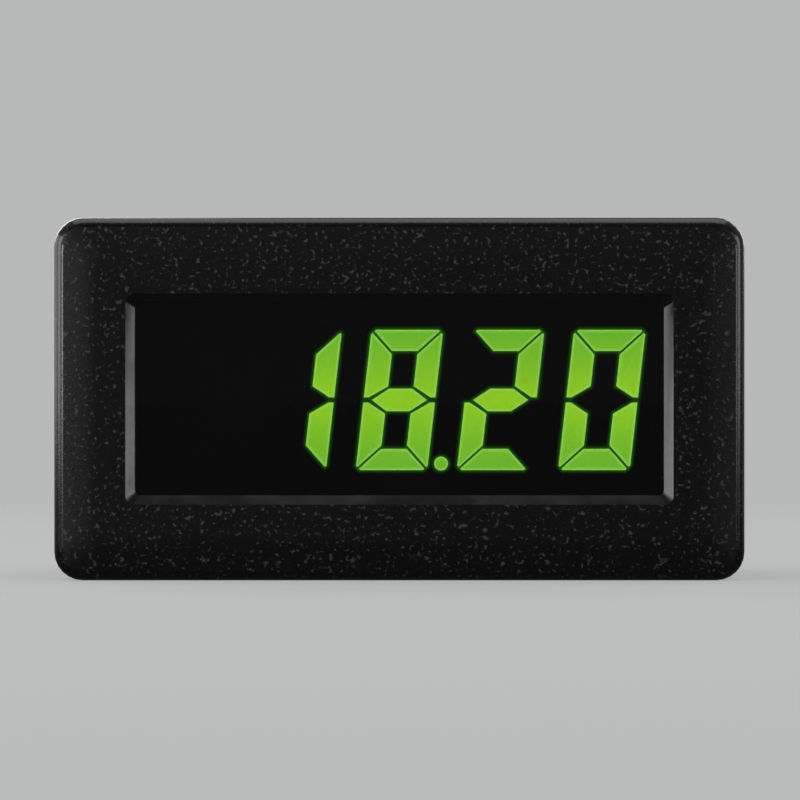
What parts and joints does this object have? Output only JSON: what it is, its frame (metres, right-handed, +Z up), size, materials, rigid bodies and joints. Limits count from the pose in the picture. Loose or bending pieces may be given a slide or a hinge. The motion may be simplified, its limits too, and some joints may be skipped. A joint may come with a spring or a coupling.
{
  "type": "digital panel meter",
  "caption": "Panel meter with a black bezel, a lit liquid-crystal display, a tub with rear screw terminals, and a slide-on clip with clamp screws.",
  "frame": {"origin": "centre of the panel cut-out on the front surface of the panel, where the gasket's rear face lies", "axes": "+X to the right along the display as it is read, +Y to the rear into the panel, +Z up"},
  "size_m": [0.075, 0.0527, 0.0394],
  "materials": {
    "case": "fine spark-eroded black ABS, with a smooth glossy bevel round the window",
    "window_seal": "black adhesive tape",
    "window_pane": "smoked clear acrylic, polished",
    "polariser": "grey polarising film",
    "cell_glass": "clear soda-lime glass",
    "edge_seal": "printed epoxy seal",
    "figures": "lit yellow-green bars of the display",
    "light_guide": "clear acrylic, diffusing",
    "reflector": "white film",
    "leds": "yellow-green epoxy",
    "display_frame": "white moulded plastic",
    "zebra_strip": "conductive elastomer",
    "circuit_board": "green solder mask over glass-fibre board",
    "chip": "black epoxy package",
    "header": "black moulded plastic",
    "header_pins": "plated",
    "capacitors": "dark sleeve",
    "regulator": "black epoxy package with a tinned tab",
    "resistors": "lacquered",
    "trimmer_body": "blue moulded plastic",
    "trimmer_rotor": "off-white moulded plastic",
    "dip_body": "red moulded plastic",
    "dip_slider": "white moulded plastic",
    "terminal_housing": "green moulded polyamide",
    "terminal_brass": "nickel-flashed brass",
    "terminal_screw": "zinc plated",
    "rear_cover": "fine-textured black ABS",
    "gasket": "closed-cell black foam rubber",
    "clip": "black polyamide",
    "inserts": "knurled brass",
    "clamp_screw": "zinc plated",
    "clamp_foot": "natural nylon"
  },
  "bodies": {
    "meter": {"case": "case", "window_seal": "window_seal", "window": "window_pane", "lcd_front_polariser": "polariser", "lcd_front_glass": "cell_glass", "lcd_edge_seal": "edge_seal", "figure_tens": "figures", "figure_units": "figures", "decimal_point": "figures", "figure_tenths": "figures", "figure_hundredths": "figures", "lcd_rear_glass": "cell_glass", "lcd_rear_polariser": "polariser", "light_guide": "light_guide", "backlight_reflector": "reflector", "backlight_leds": "leds", "display_frame": "display_frame", "zebra_strip_upper": "zebra_strip", "zebra_strip_lower": "zebra_strip", "display_board": "circuit_board", "converter_chip": "chip", "main_board": "circuit_board", "board_header": "header", "header_pins": "header_pins", "capacitors": "capacitors", "voltage_regulator": "regulator", "resistors": "resistors", "trimmer_bodies": "trimmer_body", "dip_switch_body": "dip_body", "terminal_housing": "terminal_housing", "terminal_contacts": "terminal_brass", "rear_cover": "rear_cover", "panel_gasket": "gasket"},
    "clip": {"mounting_clip": "clip", "clamp_inserts": "inserts"},
    "clamp_foot_left": {"clamp_foot_left": "clamp_foot"},
    "clamp_screw_left": {"clamp_screw_left": "clamp_screw"},
    "clamp_foot_right": {"clamp_foot_right": "clamp_foot"},
    "clamp_screw_right": {"clamp_screw_right": "clamp_screw"},
    "slider_1": {"dip_slider_1": "dip_slider"},
    "slider_2": {"dip_slider_2": "dip_slider"},
    "slider_3": {"dip_slider_3": "dip_slider"},
    "slider_4": {"dip_slider_4": "dip_slider"},
    "trimmer_zero": {"trimmer_rotor_zero": "trimmer_rotor"},
    "trimmer_span": {"trimmer_rotor_span": "trimmer_rotor"},
    "cage_1": {"terminal_cage_1": "terminal_brass"},
    "screw_1": {"terminal_screw_1": "terminal_screw"},
    "cage_2": {"terminal_cage_2": "terminal_brass"},
    "screw_2": {"terminal_screw_2": "terminal_screw"},
    "cage_3": {"terminal_cage_3": "terminal_brass"},
    "screw_3": {"terminal_screw_3": "terminal_screw"},
    "cage_4": {"terminal_cage_4": "terminal_brass"},
    "screw_4": {"terminal_screw_4": "terminal_screw"},
    "cage_5": {"terminal_cage_5": "terminal_brass"},
    "screw_5": {"terminal_screw_5": "terminal_screw"},
    "cage_6": {"terminal_cage_6": "terminal_brass"},
    "screw_6": {"terminal_screw_6": "terminal_screw"}
  },
  "joints": [
    {"name": "clip_slide", "type": "slide", "parent": "meter", "child": "clip", "axis": [0, 1, 0], "range_m": [-0.0025, 0.009]},
    {"name": "clamp_left_advance", "type": "slide", "parent": "clip", "child": "clamp_foot_left", "axis": [0, -1, 0], "range_m": [0, 0.0036]},
    {"name": "clamp_left_turn", "type": "hinge", "parent": "clamp_foot_left", "child": "clamp_screw_left", "pos_m": [-0.0349, 0.02, 0], "axis": [0, -1, 0], "range_deg": [0, 2880]},
    {"name": "clamp_right_advance", "type": "slide", "parent": "clip", "child": "clamp_foot_right", "axis": [0, -1, 0], "range_m": [0, 0.0036]},
    {"name": "clamp_right_turn", "type": "hinge", "parent": "clamp_foot_right", "child": "clamp_screw_right", "pos_m": [0.0349, 0.02, 0], "axis": [0, -1, 0], "range_deg": [0, 2880]},
    {"name": "switch_1_slide", "type": "slide", "parent": "meter", "child": "slider_1", "axis": [0, 0, 1], "range_m": [0, 0.0016]},
    {"name": "switch_2_slide", "type": "slide", "parent": "meter", "child": "slider_2", "axis": [0, 0, 1], "range_m": [0, 0.0016]},
    {"name": "switch_3_slide", "type": "slide", "parent": "meter", "child": "slider_3", "axis": [0, 0, 1], "range_m": [0, 0.0016]},
    {"name": "switch_4_slide", "type": "slide", "parent": "meter", "child": "slider_4", "axis": [0, 0, 1], "range_m": [0, 0.0016]},
    {"name": "trimmer_zero_turn", "type": "hinge", "parent": "meter", "child": "trimmer_zero", "pos_m": [0.0196, 0.033, -0.0036], "axis": [0, -1, 0], "range_deg": [-135, 135]},
    {"name": "trimmer_span_turn", "type": "hinge", "parent": "meter", "child": "trimmer_span", "pos_m": [0.0264, 0.033, -0.0036], "axis": [0, -1, 0], "range_deg": [-135, 135]},
    {"name": "terminal_1_turn", "type": "hinge", "parent": "meter", "child": "screw_1", "pos_m": [-0.0127, 0.0403, 0], "axis": [0, 0, -1], "range_deg": [0, 1800]},
    {"name": "terminal_1_lift", "type": "slide", "parent": "meter", "child": "cage_1", "axis": [0, 0, 1], "range_m": [0, 0.00225]},
    {"name": "terminal_2_turn", "type": "hinge", "parent": "meter", "child": "screw_2", "pos_m": [-0.00762, 0.0403, 0], "axis": [0, 0, -1], "range_deg": [0, 1800]},
    {"name": "terminal_2_lift", "type": "slide", "parent": "meter", "child": "cage_2", "axis": [0, 0, 1], "range_m": [0, 0.00225]},
    {"name": "terminal_3_turn", "type": "hinge", "parent": "meter", "child": "screw_3", "pos_m": [-0.00254, 0.0403, 0], "axis": [0, 0, -1], "range_deg": [0, 1800]},
    {"name": "terminal_3_lift", "type": "slide", "parent": "meter", "child": "cage_3", "axis": [0, 0, 1], "range_m": [0, 0.00225]},
    {"name": "terminal_4_turn", "type": "hinge", "parent": "meter", "child": "screw_4", "pos_m": [0.00254, 0.0403, 0], "axis": [0, 0, -1], "range_deg": [0, 1800]},
    {"name": "terminal_4_lift", "type": "slide", "parent": "meter", "child": "cage_4", "axis": [0, 0, 1], "range_m": [0, 0.00225]},
    {"name": "terminal_5_turn", "type": "hinge", "parent": "meter", "child": "screw_5", "pos_m": [0.00762, 0.0403, 0], "axis": [0, 0, -1], "range_deg": [0, 1800]},
    {"name": "terminal_5_lift", "type": "slide", "parent": "meter", "child": "cage_5", "axis": [0, 0, 1], "range_m": [0, 0.00225]},
    {"name": "terminal_6_turn", "type": "hinge", "parent": "meter", "child": "screw_6", "pos_m": [0.0127, 0.0403, 0], "axis": [0, 0, -1], "range_deg": [0, 1800]},
    {"name": "terminal_6_lift", "type": "slide", "parent": "meter", "child": "cage_6", "axis": [0, 0, 1], "range_m": [0, 0.00225]}
  ],
  "couplings": [
    {"joint": "clamp_left_turn", "follows": "clamp_left_advance", "rad_per_m": 13963},
    {"joint": "clamp_right_turn", "follows": "clamp_right_advance", "rad_per_m": 13963},
    {"joint": "terminal_1_turn", "follows": "terminal_1_lift", "rad_per_m": 13963},
    {"joint": "terminal_2_turn", "follows": "terminal_2_lift", "rad_per_m": 13963},
    {"joint": "terminal_3_turn", "follows": "terminal_3_lift", "rad_per_m": 13963},
    {"joint": "terminal_4_turn", "follows": "terminal_4_lift", "rad_per_m": 13963},
    {"joint": "terminal_5_turn", "follows": "terminal_5_lift", "rad_per_m": 13963},
    {"joint": "terminal_6_turn", "follows": "terminal_6_lift", "rad_per_m": 13963}
  ]
}
